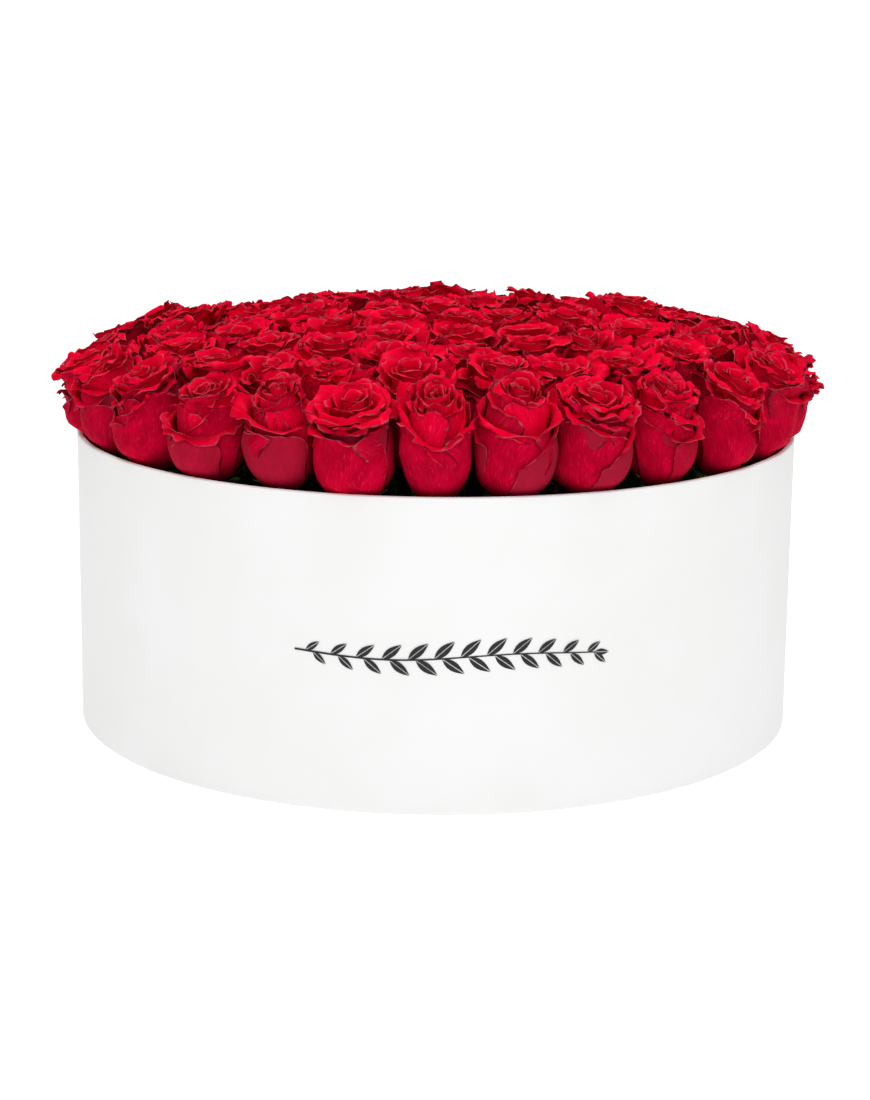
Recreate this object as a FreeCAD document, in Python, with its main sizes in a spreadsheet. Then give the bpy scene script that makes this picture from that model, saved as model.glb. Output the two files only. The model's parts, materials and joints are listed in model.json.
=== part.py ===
import FreeCAD, Part
import os
import re
import Sketcher
from math import asin, pi

# A round flower box, its false floor, and the arrangement of roses that lifts out of it.
#
# The box is a rolled board tube with a base board, wrapped outside in white paper and lined inside in black.
# A false floor of slotted ribs and a deck holds a waterproof tray near the rim. The tray holds one layer of
# floral foam bricks cut to a circle, and eighty-nine cut roses stand in it in six rings, which lean outwards a
# little more from ring to ring and stand in a low dome. Each rose is a head, a calyx and a stem, and each stem
# has a socket in the foam.
#
# Millimetres and degrees, +Z up. The origin is the centre of the face that the box stands on.

DIMENSIONS = [
    ("outer_radius", 225.0, "outside of the wrapped wall"),
    ("box_height", 184.0, "underside to rim"),
    ("wrap_paper", 0.5, "white wrap and base cover"),
    ("glue", 0.1, "glue line between layers"),
    ("tube_wall", 2.2, "rolled board"),
    ("base_board_thickness", 2.5, "board in the bottom of the tube"),
    ("lining_paper", 0.4, "black lining"),
    ("lining_drop", 1.5, "rim to the top of the black lining"),
    ("turn_in", 24.0, "wrap turned in over the rim"),
    ("turn_under", 20.0, "wrap turned in under the base"),
    ("rib_height", 72.0, "ribs of the false floor"),
    ("rib_board", 4.0, "corrugated board of the ribs"),
    ("rib_offset", 72.0, "ribs from the centre line"),
    ("slot_gap", 0.2, "play of a rib in its slot, on each side"),
    ("deck_board", 3.0, "deck of the false floor"),
    ("fit_gap", 0.6, "round piece inside the lining"),
    ("rest_gap", 0.1, "tray above the deck"),
    ("tray_wall", 0.8, "formed plastic tray"),
    ("tray_height", 68.0, "underside of the tray to its lip"),
    ("tray_lip", 2.0, "width of the inward lip"),
    ("brick_length", 230.0, "floral foam brick"),
    ("brick_width", 110.0, "floral foam brick"),
    ("brick_height", 80.0, "floral foam brick"),
    ("brick_gap", 0.15, "half the joint between two bricks"),
    ("brick_shift_x", 12.0, "joint between the columns, right of the centre"),
    ("brick_shift_y", 3.3, "joint between the middle rows, behind the centre"),
    ("foam_gap", 3.0, "foam to the tray's wall"),
    ("ring_spacing", 39.9, "one ring of roses to the next, at the feet of the heads"),
    ("ring_lean", 2.6, "more lean for each ring"),
    ("second_ring_turn", 20.0, "from the front to the first rose of the second ring from the centre"),
    ("third_ring_turn", 11.0, "the same for the third ring from the centre"),
    ("fourth_ring_turn", 8.0, "the same for the fourth ring"),
    ("fifth_ring_turn", 11.0, "the same for the fifth ring"),
    ("outer_foot", 177.0, "foot of a head in the outer ring, above the underside of the box"),
    ("dome_rise", 27.0, "foot of the middle head above that"),
    ("foot_radius", 7.0, "head where it meets the calyx"),
    ("head_radius", 19.8, "head at its belly"),
    ("belly_height", 25.0, "foot to the belly"),
    ("head_height", 61.0, "foot to the top of the petals"),
    ("shoulder_round", 9.0, "upper edge of a head"),
    ("calyx_height", 9.0, "hip under a head"),
    ("stem_radius", 3.0, "cut stem"),
    ("stem_length", 66.0, "cut stem below the calyx in the outer ring"),
    ("socket_gap", 0.1, "foam to stem"),
]

ROSES_IN_RING = [1, 6, 12, 18, 24, 28]  # from the centre out
RING_TURN = ["0", "second_ring_turn", "third_ring_turn", "fourth_ring_turn", "fifth_ring_turn", "0"]

# Radii and levels that follow from the dimensions, written as expressions over them.
TUBE_OUTER = "outer_radius - wrap_paper - glue"
TUBE_INNER = f"{TUBE_OUTER} - tube_wall"
TURN_IN_OUTER = f"{TUBE_INNER} - glue"
TURN_IN_INNER = f"{TURN_IN_OUTER} - wrap_paper"
LINING_OUTER = f"{TURN_IN_INNER} - glue"
LINING_INNER = f"{LINING_OUTER} - lining_paper"
LOOSE_INSIDE = f"{LINING_INNER} - fit_gap"
TURN_UNDER_FLOOR = "wrap_paper + glue"
TURN_UNDER_TOP = f"{TURN_UNDER_FLOOR} + wrap_paper"
BOARD_FLOOR = f"{TURN_UNDER_TOP} + glue"
LINING_FLOOR = f"{BOARD_FLOOR} + base_board_thickness + glue"
RIB_FLOOR = f"{LINING_FLOOR} + lining_paper"
DECK_FLOOR = f"{RIB_FLOOR} + rib_height"
TRAY_FLOOR = f"{DECK_FLOOR} + deck_board + rest_gap"
FOAM_FLOOR = f"{TRAY_FLOOR} + tray_wall"

doc = FreeCAD.newDocument("flower_box")


# ---------------------------------------------------------------- sizes

def make_sheet():
    made = doc.addObject("Spreadsheet::Sheet", "Sizes")
    for row, (alias, value, meaning) in enumerate(DIMENSIONS, start=1):
        made.set(f"A{row}", meaning)
        made.set(f"B{row}", str(value))
        made.setAlias(f"B{row}", alias)
    doc.recompute()
    return made


sheet = make_sheet()


def from_sheet(expression):
    """The expression with each dimension's name pointing into the sheet, ready for setExpression."""
    return re.sub(r"[a-z]+_[a-z_]+|glue", r"Sizes.\g<0>", expression)


def size(expression):
    """What the expression comes to now, in millimetres or degrees."""
    return float(sheet.evalExpression(from_sheet(expression)))


# ---------------------------------------------------------------- bodies and sketches

def new_body(name):
    body = doc.addObject("PartDesign::Body", name)
    body.Label = name
    return body


def new_sketch(body, name, role, across="0", up="0", off="0", turn="0"):
    """A sketch on one of the body's origin planes, moved in that plane, off it, and turned in it."""
    plane = next(feature for feature in body.Origin.OriginFeatures if feature.Role == role)
    sketch = body.newObject("Sketcher::SketchObject", name)
    sketch.AttachmentSupport = [(plane, "")]
    sketch.MapMode = "FlatFace"
    sketch.AttachmentOffset = FreeCAD.Placement(
        FreeCAD.Vector(size(across), size(up), size(off)), FreeCAD.Rotation(FreeCAD.Vector(0, 0, 1), size(turn))
    )
    sketch.setExpression("AttachmentOffset.Base.x", from_sheet(across))
    sketch.setExpression("AttachmentOffset.Base.y", from_sheet(up))
    sketch.setExpression("AttachmentOffset.Base.z", from_sheet(off))
    if turn != "0":
        sketch.setExpression("AttachmentOffset.Rotation.Angle", from_sheet(turn))
    return sketch


def dimension(sketch, kind, geometry, name, expression):
    """A named dimension of the sketch, bound to the sheet."""
    index = sketch.addConstraint(Sketcher.Constraint(kind, *geometry, size(expression)))
    sketch.renameConstraint(index, name)
    sketch.setExpression(f"Constraints.{name}", from_sheet(expression))


def place_point(sketch, geometry, end, name, x, y):
    """Holds one end of a line or arc at a place in the sketch; a zero puts it on an axis."""
    for kind, expression, axis in (("DistanceX", x, -2), ("DistanceY", y, -1)):
        if expression == "0":
            sketch.addConstraint(Sketcher.Constraint("PointOnObject", geometry, end, axis))
        else:
            dimension(sketch, kind, (-1, 1, geometry, end), f"{name}_{kind[-1].lower()}", expression)


def circle(sketch, name, radius):
    """A circle about the sketch's origin."""
    index = sketch.addGeometry(Part.Circle(FreeCAD.Vector(), FreeCAD.Vector(0, 0, 1), size(radius)))
    sketch.addConstraint(Sketcher.Constraint("Coincident", index, 3, -1, 1))
    dimension(sketch, "Radius", (index,), name, radius)


def outline(sketch, corners):
    """A closed outline of straight sides through the corners."""
    points = [FreeCAD.Vector(size(x), size(y), 0) for x, y in corners]
    for start, end in zip(points, points[1:] + points[:1]):
        sketch.addGeometry(Part.LineSegment(start, end))
    for side, (x, y) in enumerate(corners):
        sketch.addConstraint(Sketcher.Constraint("Coincident", (side - 1) % len(corners), 2, side, 1))
        place_point(sketch, side, 1, f"corner_{side + 1}", x, y)


def pad(body, sketch, length, midplane=False):
    made = body.newObject("PartDesign::Pad", f"{body.Name}_pad")
    made.Profile = sketch
    made.Midplane = midplane
    made.setExpression("Length", from_sheet(length))
    return made


def revolve(body, sketch):
    made = body.newObject("PartDesign::Revolution", f"{body.Name}_revolution")
    made.Profile = sketch
    made.ReferenceAxis = (sketch, ["V_Axis"])
    made.Angle = 360
    return made


def disc(name, radius, floor, thickness, hole=None):
    """A flat round sheet or board, or a tube where a hole is given."""
    body = new_body(name)
    sketch = new_sketch(body, f"{name}_sketch", "XY_Plane", off=floor)
    circle(sketch, "outer_radius", radius)
    if hole:
        circle(sketch, "inner_radius", hole)
    pad(body, sketch, thickness)
    return body


def turned(name, corners):
    """A solid turned about the Z axis from an outline of radii and heights."""
    body = new_body(name)
    sketch = new_sketch(body, f"{name}_sketch", "XZ_Plane")
    outline(sketch, corners)
    revolve(body, sketch)
    return body


# ---------------------------------------------------------------- the box

def make_outer_wrap():
    """One sheet of white paper: in under the base, up the outside, over the rim and down the inside."""
    return turned("outer_wrap", [
        ("outer_radius - turn_under", TURN_UNDER_FLOOR),
        ("outer_radius", TURN_UNDER_FLOOR),
        ("outer_radius", "box_height"),
        (TURN_IN_INNER, "box_height"),
        (TURN_IN_INNER, "box_height - turn_in"),
        (TURN_IN_OUTER, "box_height - turn_in"),
        (TURN_IN_OUTER, "box_height - wrap_paper"),
        ("outer_radius - wrap_paper", "box_height - wrap_paper"),
        ("outer_radius - wrap_paper", TURN_UNDER_TOP),
        ("outer_radius - turn_under", TURN_UNDER_TOP),
    ])


def make_box():
    """The board box and its papers, from the underside up."""
    tube_height = f"box_height - wrap_paper - glue - ({BOARD_FLOOR})"
    lining_height = f"box_height - lining_drop - ({LINING_FLOOR})"
    return [
        disc("base_cover", "outer_radius - 3 * wrap_paper", "0", "wrap_paper"),
        make_outer_wrap(),
        disc("wall_tube", TUBE_OUTER, BOARD_FLOOR, tube_height, hole=TUBE_INNER),
        disc("base_board", f"{TUBE_INNER} - glue", BOARD_FLOOR, "base_board_thickness"),
        disc("base_lining", f"{LINING_INNER} - glue", LINING_FLOOR, "lining_paper"),
        disc("inner_lining", LINING_OUTER, LINING_FLOOR, lining_height, hole=LINING_INNER),
    ]


# ---------------------------------------------------------------- the false floor

def make_rib(name, role, side, open_side):
    """A board on edge, slotted to half its height where it crosses the two ribs that run the other way."""
    opens_up = open_side == "top"
    plain, slotted = (RIB_FLOOR, DECK_FLOOR) if opens_up else (DECK_FLOOR, RIB_FLOOR)
    slot_end = f"{RIB_FLOOR} + rib_height / 2 {'-' if opens_up else '+'} slot_gap"
    half_length = f"sqrt(({LOOSE_INSIDE}) ^ 2 - (rib_offset + rib_board / 2) ^ 2)"
    near = "rib_offset - rib_board / 2 - slot_gap"
    far = "rib_offset + rib_board / 2 + slot_gap"
    right_half = [
        (near, slotted),
        (near, slot_end),
        (far, slot_end),
        (far, slotted),
        (half_length, slotted),
        (half_length, plain),
    ]
    left_half = [(f"0 - ({x})", y) for x, y in reversed(right_half)]
    body = new_body(name)
    sketch = new_sketch(body, f"{name}_sketch", role, off=f"{side} * rib_offset")
    outline(sketch, left_half + right_half)
    pad(body, sketch, "rib_board", midplane=True)
    return body


def make_false_floor():
    """Four ribs slotted together under a round deck."""
    return [
        make_rib("false_floor_rib_front", "XZ_Plane", 1, "top"),
        make_rib("false_floor_rib_back", "XZ_Plane", -1, "top"),
        make_rib("false_floor_rib_left", "YZ_Plane", -1, "bottom"),
        make_rib("false_floor_rib_right", "YZ_Plane", 1, "bottom"),
        disc("false_floor_deck", LOOSE_INSIDE, DECK_FLOOR, "deck_board"),
    ]


# ---------------------------------------------------------------- the roses

def rise(ring):
    """How far the ring's heads stand above those of the outer ring, in a dome that is a parabola in section."""
    return f"dome_rise * (1 - ({ring} / {len(ROSES_IN_RING) - 1}) ^ 2)"


def stem_end(ring):
    """The lower end of the ring's stems, along the stem from the foot of the head."""
    return f"0 - calyx_height - stem_length - {rise(ring)}"


def rose_sketch(body, ring, name="sketch"):
    """A sketch upright through the ring's first rose: its origin at the head's foot, its Y axis up the stem."""
    return new_sketch(
        body, f"{body.Name}_{name}", "YZ_Plane",
        across=f"0 - {ring} * ring_spacing", up=f"outer_foot + {rise(ring)}", turn=f"{ring} * ring_lean",
    )


def repeat_round_ring(body, features, ring):
    """Repeats the first rose's features round the Z axis, as separate solids."""
    if ROSES_IN_RING[ring] == 1:
        return
    doc.recompute()
    pattern = body.newObject("PartDesign::PolarPattern", f"{body.Name}_pattern")
    pattern.Originals = features
    pattern.Axis = (next(f for f in body.Origin.OriginFeatures if f.Role == "Z_Axis"), [""])
    pattern.Angle = 360
    pattern.Occurrences = ROSES_IN_RING[ring]
    body.Tip = pattern


def ring_body(name, ring):
    """A body for one ring, turned about the Z axis so that the rings' roses stand out of line with one another."""
    body = new_body(f"{name}_ring_{ring + 1}")
    body.AllowCompound = True
    if RING_TURN[ring] != "0":
        turn = FreeCAD.Rotation(FreeCAD.Vector(0, 0, 1), size(RING_TURN[ring]))
        body.Placement = FreeCAD.Placement(FreeCAD.Vector(), turn)
        body.setExpression("Placement.Rotation.Angle", from_sheet(RING_TURN[ring]))
    return body


def make_heads(ring):
    """The ring's heads, each the closed outer form of its petals: a bowl, straight sides and a round shoulder."""
    body = ring_body("rose_heads", ring)
    sketch = rose_sketch(body, ring)
    foot, radius, rounding = size("foot_radius"), size("head_radius"), size("shoulder_round")
    belly, top = size("belly_height"), size("head_height")
    bowl_radius = ((radius - foot) ** 2 + belly ** 2) / (2 * (radius - foot))
    bowl_circle = Part.Circle(FreeCAD.Vector(radius - bowl_radius, belly, 0), FreeCAD.Vector(0, 0, 1), bowl_radius)
    round_centre = FreeCAD.Vector(radius - rounding, top - rounding, 0)
    round_circle = Part.Circle(round_centre, FreeCAD.Vector(0, 0, 1), rounding)
    foot_angle = -asin(belly / bowl_radius)
    foot_line, bowl, side, shoulder, crown, axis = sketch.addGeometry([
        Part.LineSegment(FreeCAD.Vector(0, 0, 0), FreeCAD.Vector(foot, 0, 0)),
        Part.ArcOfCircle(bowl_circle, foot_angle, 0),
        Part.LineSegment(FreeCAD.Vector(radius, belly, 0), FreeCAD.Vector(radius, top - rounding, 0)),
        Part.ArcOfCircle(round_circle, 0, pi / 2),
        Part.LineSegment(FreeCAD.Vector(radius - rounding, top, 0), FreeCAD.Vector(0, top, 0)),
        Part.LineSegment(FreeCAD.Vector(0, top, 0), FreeCAD.Vector(0, 0, 0)),
    ])
    sketch.addConstraint([
        Sketcher.Constraint("Coincident", foot_line, 2, bowl, 1),
        Sketcher.Constraint("Tangent", bowl, 2, side, 1),
        Sketcher.Constraint("Tangent", side, 2, shoulder, 1),
        Sketcher.Constraint("Tangent", shoulder, 2, crown, 1),
        Sketcher.Constraint("Coincident", crown, 2, axis, 1),
        Sketcher.Constraint("Coincident", axis, 2, foot_line, 1),
        Sketcher.Constraint("Horizontal", crown),
        Sketcher.Constraint("Vertical", side),
        Sketcher.Constraint("PointOnObject", crown, 2, -2),
    ])
    place_point(sketch, foot_line, 1, "axis_foot", "0", "0")
    place_point(sketch, foot_line, 2, "foot", "foot_radius", "0")
    place_point(sketch, side, 1, "belly", "head_radius", "belly_height")
    dimension(sketch, "DistanceY", (-1, 1, crown, 1), "crown_y", "head_height")
    dimension(sketch, "Radius", (shoulder,), "shoulder_radius", "shoulder_round")
    repeat_round_ring(body, [revolve(body, sketch)], ring)
    return body


def make_calyxes(ring):
    """The ring's hips, each a cone from the stem up to the foot of the head."""
    body = ring_body("rose_calyxes", ring)
    sketch = rose_sketch(body, ring)
    outline(sketch, [("0", "0 - calyx_height"), ("stem_radius", "0 - calyx_height"), ("foot_radius", "0"), ("0", "0")])
    repeat_round_ring(body, [revolve(body, sketch)], ring)
    return body


def make_rod(body, ring, radius, end, top):
    """A round rod along the rose's axis."""
    sketch = rose_sketch(body, ring)
    outline(sketch, [("0", end), (radius, end), (radius, top), ("0", top)])
    return revolve(body, sketch)


def make_stems(ring):
    """The ring's stems, each with its lower end cut at a slant."""
    body = ring_body("rose_stems", ring)
    end = stem_end(ring)
    rod = make_rod(body, ring, "stem_radius", end, "0 - calyx_height")
    slant = rose_sketch(body, ring, "slant")
    outline(slant, [
        ("0 - 2 * stem_radius", f"{end} - stem_radius"),
        ("2 * stem_radius", f"{end} - stem_radius"),
        ("2 * stem_radius", f"{end} + 3 * stem_radius"),
    ])
    cut = body.newObject("PartDesign::Pocket", f"{body.Name}_cut")
    cut.Profile = slant
    cut.Midplane = True
    cut.setExpression("Length", from_sheet("4 * stem_radius"))
    repeat_round_ring(body, [rod, cut], ring)
    return body


def make_sockets(ring):
    """The holes that the ring's stems make in the foam."""
    body = ring_body("stem_sockets", ring)
    rod = make_rod(body, ring, "stem_radius + socket_gap", f"{stem_end(ring)} - socket_gap", "0")
    repeat_round_ring(body, [rod], ring)
    return body


# ---------------------------------------------------------------- tray and foam

def make_tray():
    """A waterproof tray with a small inward lip."""
    rim = f"{TRAY_FLOOR} + tray_height"
    return turned("liner_tray", [
        ("0", TRAY_FLOOR),
        (LOOSE_INSIDE, TRAY_FLOOR),
        (LOOSE_INSIDE, rim),
        (f"{LOOSE_INSIDE} - tray_lip", rim),
        (f"{LOOSE_INSIDE} - tray_lip", f"{rim} - tray_wall"),
        (f"{LOOSE_INSIDE} - tray_wall", f"{rim} - tray_wall"),
        (f"{LOOSE_INSIDE} - tray_wall", FOAM_FLOOR),
        ("0", FOAM_FLOOR),
    ])


def bind_all(item, **expressions):
    for prop, expression in expressions.items():
        item.setExpression(prop.replace("__", "."), from_sheet(expression))


def make_brick(name, row, column, foam_round, sockets):
    """One foam brick, cut to the tray's circle, with the stems' sockets in it."""
    block = doc.addObject("Part::Box", f"{name}_block")
    bind_all(
        block,
        Length="brick_length - 2 * brick_gap",
        Width="brick_width - 2 * brick_gap",
        Height="brick_height",
        Placement__Base__x=f"{column} * brick_length + brick_shift_x + brick_gap",
        Placement__Base__y=f"{row} * brick_width + brick_shift_y + brick_gap",
        Placement__Base__z=FOAM_FLOOR,
    )
    trimmed = doc.addObject("Part::Common", f"{name}_trimmed")
    trimmed.Base = block
    trimmed.Tool = foam_round
    drilled = doc.addObject("Part::Cut", name)
    drilled.Label = name
    drilled.Base = trimmed
    drilled.Tool = sockets
    return drilled


def make_foam():
    """Eight bricks side by side, four rows of two."""
    foam_round = doc.addObject("Part::Cylinder", "foam_round")
    bind_all(
        foam_round,
        Radius=f"{LOOSE_INSIDE} - tray_wall - foam_gap",
        Height="brick_height",
        Placement__Base__z=FOAM_FLOOR,
    )
    sockets = doc.addObject("Part::Compound", "stem_sockets")
    sockets.Links = [make_sockets(ring) for ring in range(len(ROSES_IN_RING))]
    doc.recompute()
    rows = {"front": -2, "front_middle": -1, "back_middle": 0, "back": 1}
    columns = {"left": -1, "right": 0}
    return [
        make_brick(f"foam_brick_{row}_{column}", rows[row], columns[column], foam_round, sockets)
        for row in rows
        for column in columns
    ]


# ---------------------------------------------------------------- build, check and write

def make_roses():
    """Heads, calyxes and stems, each kind ring by ring from the centre out."""
    return [make(ring) for make in (make_heads, make_calyxes, make_stems) for ring in range(len(ROSES_IN_RING))]


def check_and_write(subparts):
    for item in doc.Objects:
        if "Invalid" in item.State or "Error" in item.State:
            raise RuntimeError(f"{item.Label} failed: {item.State}")
    os.makedirs("parts", exist_ok=True)
    for part in subparts:
        shape = part.Shape
        if shape.isNull() or not shape.isValid() or not shape.Solids:
            raise RuntimeError(f"{part.Label} has no valid solid")
        shape.exportStep(f"parts/{part.Label}.step")
        print(f"{part.Label}: {len(shape.Solids)} solids, {shape.Volume / 1000:.2f} cm3")


subparts = make_box() + make_false_floor() + [make_tray()] + make_foam() + make_roses()
doc.recompute()
check_and_write(subparts)
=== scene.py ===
import json
from math import cos, pi, radians, sin, tau

import bpy
import numpy as np
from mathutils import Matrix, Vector


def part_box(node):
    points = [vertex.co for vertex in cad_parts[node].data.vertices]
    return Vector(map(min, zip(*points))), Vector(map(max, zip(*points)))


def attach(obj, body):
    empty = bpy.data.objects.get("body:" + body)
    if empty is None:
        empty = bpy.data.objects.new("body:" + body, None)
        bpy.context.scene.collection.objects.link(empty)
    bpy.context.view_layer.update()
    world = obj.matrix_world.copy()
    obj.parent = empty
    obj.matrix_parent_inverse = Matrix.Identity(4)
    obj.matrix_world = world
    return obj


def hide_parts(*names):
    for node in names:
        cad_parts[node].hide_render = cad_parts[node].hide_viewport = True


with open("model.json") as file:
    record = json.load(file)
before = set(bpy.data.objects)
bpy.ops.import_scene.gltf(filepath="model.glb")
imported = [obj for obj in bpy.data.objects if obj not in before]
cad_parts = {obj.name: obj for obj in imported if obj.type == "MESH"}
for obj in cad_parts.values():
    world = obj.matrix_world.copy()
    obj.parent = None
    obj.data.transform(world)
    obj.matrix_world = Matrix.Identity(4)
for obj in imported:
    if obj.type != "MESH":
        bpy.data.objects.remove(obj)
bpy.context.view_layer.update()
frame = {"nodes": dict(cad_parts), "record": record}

# A round white flower box filled with a low dome of red roses.
#
# The scene is in metres in the frame's own axes. A rose is made in millimetres about its own stem,
# with its foot at zero and x pointing out of the box, and then stood in its place. The wrap and
# the printed sprig are worked out in millimetres too.

MM = 0.001
WRAP_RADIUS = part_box("outer_wrap")[1].x / MM
ROSES_IN_RING = [1, 6, 12, 18, 24, 28]  # from the centre out
OUTER_RING = len(ROSES_IN_RING) - 1
BODY_OF_BOX, BODY_OF_ROSES = "box", "arrangement"


# ------------------------------ materials

def srgb(red, green, blue):
    """A colour as seen on a screen, 0 to 255, in the linear values that shaders take."""
    def linear(value):
        value /= 255
        return value / 12.92 if value <= 0.04045 else ((value + 0.055) / 1.055) ** 2.4
    return (linear(red), linear(green), linear(blue), 1.0)


class Look:
    """One material, with short forms for the nodes of its pattern."""

    def __init__(self, name, roughness, **plain):
        self.material = bpy.data.materials.new(name)
        self.material.use_nodes = True
        self.tree = self.material.node_tree
        self.shader = self.tree.nodes["Principled BSDF"]
        self.shader.inputs["Roughness"].default_value = roughness
        for socket, value in plain.items():
            self.shader.inputs[socket.replace("_", " ")].default_value = value

    def node(self, kind, inputs=None, **settings):
        """A new node, its inputs linked to sockets or set to plain values."""
        made = self.tree.nodes.new("ShaderNode" + kind)
        for name, value in settings.items():
            setattr(made, name, value)
        for socket, value in (inputs or {}).items():
            if isinstance(value, bpy.types.NodeSocket):
                self.tree.links.new(value, made.inputs[socket])
            else:
                made.inputs[socket].default_value = value
        return made

    def place(self):
        """Where a point is on the object."""
        return self.node("TexCoord").outputs["Object"]

    def attribute(self, name):
        """The three parts of a value that the mesh carries."""
        vector = self.node("Attribute", attribute_name=name).outputs["Vector"]
        return self.split(vector)

    def split(self, vector):
        return self.node("SeparateXYZ", {"Vector": vector}).outputs

    def join(self, x, y, z):
        return self.node("CombineXYZ", {"X": x, "Y": y, "Z": z}).outputs["Vector"]

    def math(self, operation, a, b):
        return self.node("Math", {0: a, 1: b}, operation=operation).outputs[0]

    def times(self, a, b):
        return self.math("MULTIPLY", a, b)

    def noise(self, vector, scale, detail=2.0, roughness=0.5):
        """Cloudy values about 0.5, with so many clouds to the unit of the vector."""
        inputs = {"Vector": vector, "Scale": scale, "Detail": detail, "Roughness": roughness}
        return self.node("TexNoise", inputs).outputs[0]

    def band(self, value, low, high, to_low=0.0, to_high=1.0):
        """The value, smoothly taken from the first stretch to the second and held at its ends."""
        inputs = {"Value": value, "From Min": low, "From Max": high,
                  "To Min": to_low, "To Max": to_high}
        return self.node("MapRange", inputs, interpolation_type="SMOOTHSTEP").outputs["Result"]

    def mix(self, share, a, b):
        """Colour a where the share is 0, b where it is 1. The numbers are the colour sockets."""
        made = self.node("Mix", {0: share, 6: a, 7: b}, data_type="RGBA")
        return made.outputs[2]

    def colour(self, socket):
        self.tree.links.new(socket, self.shader.inputs["Base Color"])

    def roughness(self, socket):
        self.tree.links.new(socket, self.shader.inputs["Roughness"])

    def bump(self, height, distance, strength=1.0):
        made = self.node("Bump", {"Height": height, "Distance": distance, "Strength": strength})
        self.tree.links.new(made.outputs["Normal"], self.shader.inputs["Normal"])


def petal_pattern(look, vein_scale):
    """Fine veins that fan out from the claw, and soft blotches, both in the petal's own measure."""
    fan, length, number = look.attribute("petal_place")
    seed = look.times(number, 7.3)
    bend = look.noise(look.join(look.times(fan, 0.09), look.times(length, 0.09), seed), 1.0)
    spread = look.math("ADD", look.times(length, 0.02), 0.6)
    swayed = look.math("ADD", look.math("DIVIDE", fan, spread), look.times(bend, 4.0))
    drawn_out = look.times(length, 0.08)
    fine = look.noise(look.join(swayed, drawn_out, seed), vein_scale, 3.0, 0.65)
    broad = look.noise(look.join(look.times(fan, 0.11), drawn_out, seed), 1.0)
    return fine, broad


def petal_rim(look, width):
    """How much of the dry rim shows, most at the very edge and ragged inside it, and its colour."""
    fan, length, number = look.attribute("petal_place")
    rim = look.attribute("petal_look")[0]
    place = look.join(fan, length, look.times(number, 3.1))
    ragged = look.noise(place, 0.35, 3.0, 0.6)
    reach = look.band(ragged, 0.3, 0.75, 0.3 * width, 2.4 * width)
    share = look.band(look.math("DIVIDE", rim, reach), 0.4, 1.3, 0.85, 0.0)
    dry = look.noise(place, 0.12, 2.0, 0.5)
    return share, look.mix(look.band(dry, 0.38, 0.62), srgb(96, 12, 32), srgb(188, 72, 88))


def petal_back_look():
    """The outside of a petal: deep crimson and veined, with painted highlights on the veins,
    painted light on inner roses, and a dulled pink on some petals that is partly a painted velvet
    sheen.
    """
    look = Look("petal_back", 0.65, Specular_IOR_Level=0.01)
    fine, broad = petal_pattern(look, 2.4)
    tone = look.attribute("petal_look")[1]
    deep = look.mix(look.band(broad, 0.35, 0.7), srgb(168, 0, 36), srgb(196, 0, 46))
    # Brighter where the tone is low: partly each petal's own tone, partly painted light on the
    # roses inside the outer ring, whose tone is lowered.
    tone_and_painted_light = look.mix(look.band(tone, -1.0, 0.2, 0.9, 0.0), deep, srgb(232, 0, 50))
    dark = look.mix(look.band(fine, 0.26, 0.48, 0.5, 0.0), tone_and_painted_light, srgb(124, 0, 26))
    # Pale streaks along the vein ridges: painted highlights.
    veined = look.mix(look.band(fine, 0.54, 0.76, 0.0, 0.55), dark, srgb(236, 50, 84))
    # Dull pink on petals of high tone: their own dulling together with a painted velvet sheen.
    dull_and_sheen = look.mix(look.band(tone, 0.5, 1.0, 0.0, 0.8), veined, srgb(154, 26, 50))
    share, dry = petal_rim(look, 0.7)
    look.colour(look.mix(share, dull_and_sheen, dry))
    look.bump(fine, 0.0003, 0.8)
    return look.material


def petal_face_look():
    """The inside of a petal: clear saturated red, with pale blotches of painted sheen and painted
    light on inner roses, drier at the rim.
    """
    look = Look("petal_face", 0.55, Specular_IOR_Level=0.01)
    fine, broad = petal_pattern(look, 1.1)
    tone = look.attribute("petal_look")[1]
    clear = look.mix(look.band(broad, 0.3, 0.7), srgb(214, 0, 40), srgb(230, 0, 48))
    veined = look.mix(look.band(fine, 0.5, 0.78, 0.0, 0.35), clear, srgb(196, 0, 30))
    # Pale pink blotches: a painted sheen.
    painted_sheen = look.mix(look.band(broad, 0.6, 0.8, 0.0, 0.45), veined, srgb(240, 70, 96))
    # Darker where the tone is high; the lowered tone of roses inside the outer ring is painted
    # light.
    toned = look.mix(look.band(tone, 0.3, 1.0, 0.0, 0.4), painted_sheen, srgb(172, 12, 44))
    share, dry = petal_rim(look, 0.65)
    look.colour(look.mix(share, toned, dry))
    look.bump(fine, 0.0003, 0.5)
    return look.material


def green_look():
    """Stems, hips and sepals: fresh green with paler streaks and reddish flecks."""
    look = Look("rose_green", 0.5, Specular_IOR_Level=0.4)
    place = look.place()
    streaks = look.noise(place, 420.0, 3.0, 0.6)
    flecks = look.noise(place, 1300.0, 2.0, 0.5)
    leaf = look.mix(look.band(streaks, 0.35, 0.7), srgb(52, 84, 30), srgb(118, 148, 66))
    look.colour(look.mix(look.band(flecks, 0.62, 0.75, 0.0, 0.5), leaf, srgb(122, 60, 42)))
    look.bump(streaks, 0.0002, 0.5)
    return look.material


# ------------------------------ the shape of one petal

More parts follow.
